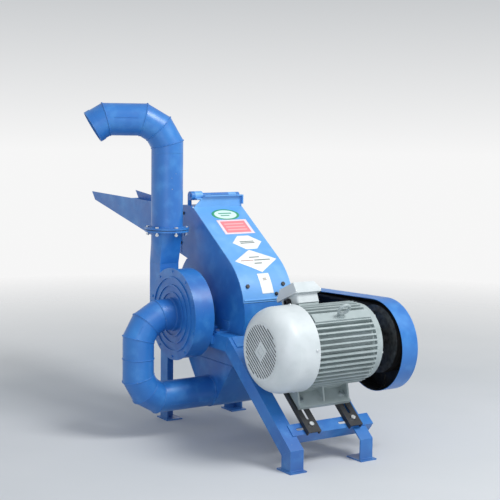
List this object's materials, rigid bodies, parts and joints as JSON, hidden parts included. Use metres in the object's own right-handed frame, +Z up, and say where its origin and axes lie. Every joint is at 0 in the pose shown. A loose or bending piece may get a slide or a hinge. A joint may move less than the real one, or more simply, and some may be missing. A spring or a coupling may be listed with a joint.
{
  "type": "hammer mill",
  "caption": "Belt-driven hammer mill with a tilted motor on rails, a sloping feed tray, a hinged casing cover and a side fan that draws the meal off and blows it up a pipe.",
  "frame": {"origin": "on the floor at the centre of the four anchor holes in the foot plates", "axes": "+X along the rotor shaft towards the belt guard, +Y from the motor to the feed tray, +Z up"},
  "size_m": [1.0101, 1.962, 1.44],
  "materials": {
    "machine_blue": "gloss",
    "rail_black": "satin",
    "bright_steel": "turned",
    "zinc_plate": "zinc plated",
    "worn_steel": "as rolled and worn",
    "cast_iron": "as cast",
    "motor_grey": "satin",
    "core_steel": "laminated",
    "black_rubber": "matt",
    "black_plastic": "matt"
  },
  "bodies": {
    "machine": {"foot_plates": "machine_blue", "frame_legs": "machine_blue", "top_rails": "machine_blue", "braces": "machine_blue", "cross_beams": "machine_blue", "motor_rails": "rail_black", "side_plates": "machine_blue", "casing_wrappers": "machine_blue", "cover_hinge_pin": "bright_steel", "hinge_brackets": "machine_blue", "throat_plates": "machine_blue", "feed_tray": "machine_blue", "breaker_plate": "worn_steel", "screen": "bright_steel", "screen_guides": "worn_steel", "outlet_hopper": "machine_blue", "mounting_lugs": "machine_blue", "frame_bolts": "zinc_plate", "rotor_bearings": "bright_steel", "bearing_housings": "cast_iron", "fan_housing": "machine_blue", "fan_cover": "machine_blue", "fan_cover_bolts": "zinc_plate", "outlet_duct": "machine_blue", "flange_gasket": "black_rubber", "discharge_riser": "machine_blue", "flange_bolts": "zinc_plate", "suction_upper_bend": "machine_blue", "suction_lower_bend": "machine_blue", "discharge_elbow": "machine_blue", "belt_guard": "machine_blue", "guard_brackets": "machine_blue", "v_belts": "black_rubber"},
    "rotor": {"rotor_shaft": "bright_steel", "rotor_discs": "worn_steel", "disc_spacers": "bright_steel", "rotor_nuts": "bright_steel", "hammer_pins": "bright_steel", "fan_impeller": "worn_steel", "mill_pulley": "cast_iron"},
    "cover": {"top_cover": "machine_blue", "cover_bolts": "zinc_plate"},
    "motor": {"motor_frame": "motor_grey", "motor_end_shields": "motor_grey", "motor_bearings": "bright_steel", "motor_stator": "core_steel", "motor_cowl": "motor_grey", "terminal_box": "motor_grey", "terminal_box_lid": "motor_grey", "cable_gland": "black_plastic", "eyebolt": "bright_steel", "motor_bolts": "zinc_plate"},
    "motor_rotor": {"motor_shaft": "bright_steel", "motor_rotor_core": "core_steel", "motor_fan": "black_plastic", "motor_pulley": "cast_iron"},
    "hammers_1": {"hammer_row_1": "worn_steel"},
    "hammers_2": {"hammer_row_2": "worn_steel"},
    "hammers_3": {"hammer_row_3": "worn_steel"},
    "hammers_4": {"hammer_row_4": "worn_steel"}
  },
  "joints": [
    {"name": "rotor_spin", "type": "hinge", "parent": "machine", "child": "rotor", "pos_m": [0, 0.225, 0.535], "axis": [1, 0, 0], "continuous": true},
    {"name": "cover_hinge", "type": "hinge", "parent": "machine", "child": "cover", "pos_m": [0, 0.4, 1.032], "axis": [-1, 0, 0], "range_deg": [0, 110]},
    {"name": "motor_slide", "type": "slide", "parent": "machine", "child": "motor", "axis": [0, 0.7771, 0.6293], "range_m": [-0.02, 0.02], "deforming": ["v_belts"]},
    {"name": "motor_spin", "type": "hinge", "parent": "motor", "child": "motor_rotor", "pos_m": [0, -0.38185, 0.46773], "axis": [1, 0, 0], "continuous": true},
    {"name": "hammer_swing_1", "type": "hinge", "parent": "rotor", "child": "hammers_1", "pos_m": [0, 0.33531, 0.64531], "axis": [1, 0, 0], "continuous": true},
    {"name": "hammer_swing_2", "type": "hinge", "parent": "rotor", "child": "hammers_2", "pos_m": [0, 0.11469, 0.64531], "axis": [1, 0, 0], "continuous": true},
    {"name": "hammer_swing_3", "type": "hinge", "parent": "rotor", "child": "hammers_3", "pos_m": [0, 0.11469, 0.42469], "axis": [1, 0, 0], "continuous": true},
    {"name": "hammer_swing_4", "type": "hinge", "parent": "rotor", "child": "hammers_4", "pos_m": [0, 0.33531, 0.42469], "axis": [1, 0, 0], "continuous": true}
  ],
  "couplings": [
    {"joint": "motor_spin", "follows": "rotor_spin", "ratio": 0.4464}
  ]
}
